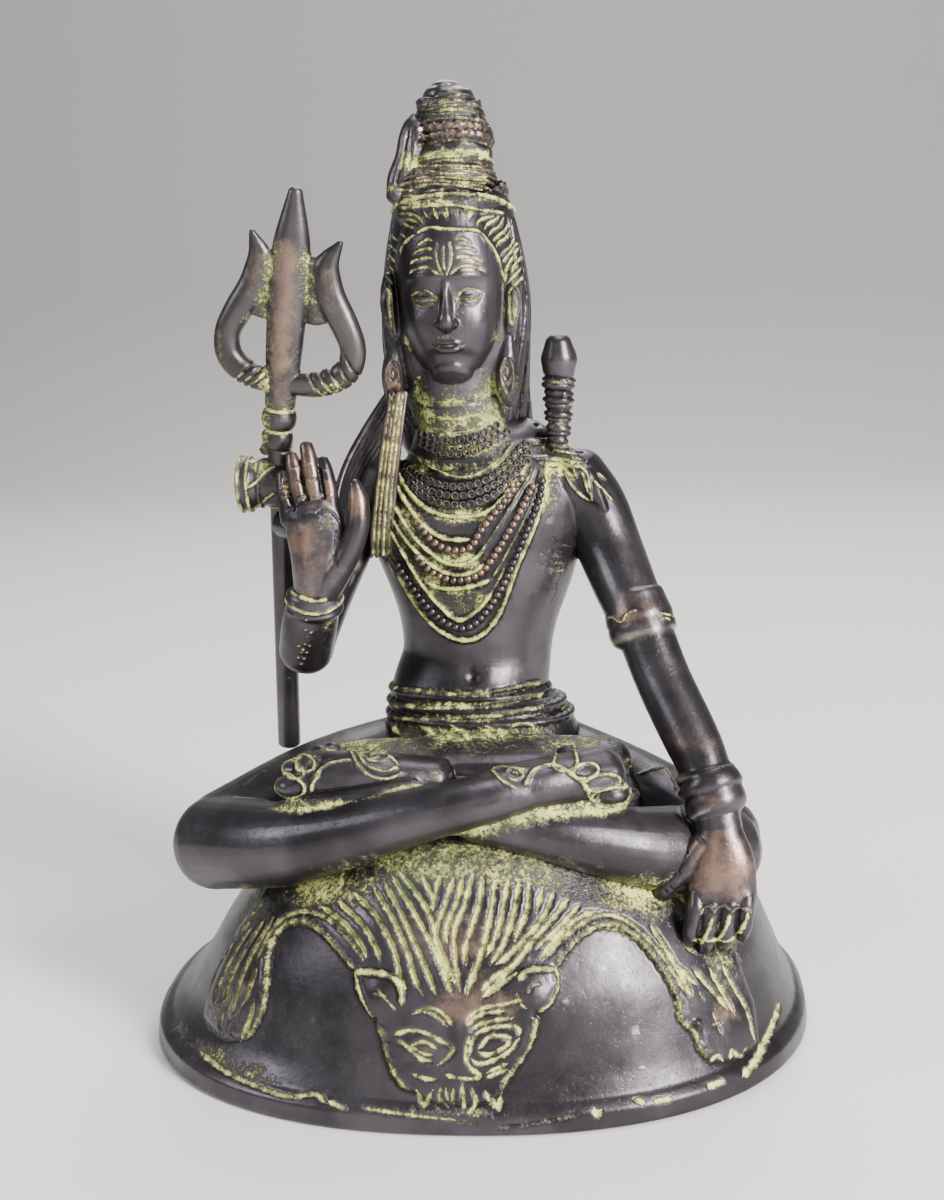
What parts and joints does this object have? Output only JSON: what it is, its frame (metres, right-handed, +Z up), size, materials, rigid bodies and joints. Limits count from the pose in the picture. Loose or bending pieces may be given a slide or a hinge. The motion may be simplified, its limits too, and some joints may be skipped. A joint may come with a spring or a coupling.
{
  "type": "seated shiva figure",
  "caption": "Cast brass figure of Shiva seated cross-legged on a domed mound with a tiger skin, one hand raised beside a trident; stands on a flat underside.",
  "frame": {"origin": "middle of the underside of the base", "axes": "+Z up to the tip of the topknot, the figure faces -Y, its left hand is at +X"},
  "size_m": [0.18, 0.15, 0.25],
  "materials": {
    "figure_brass": "dark satin brass with yellow-green patina in the recesses and copper wear on high points",
    "trident_brass": "dark satin brass, worn brown on the middle prong, green patina round the holes"
  },
  "bodies": {
    "root": {"figure": "figure_brass", "trident": "trident_brass"}
  },
  "joints": []
}
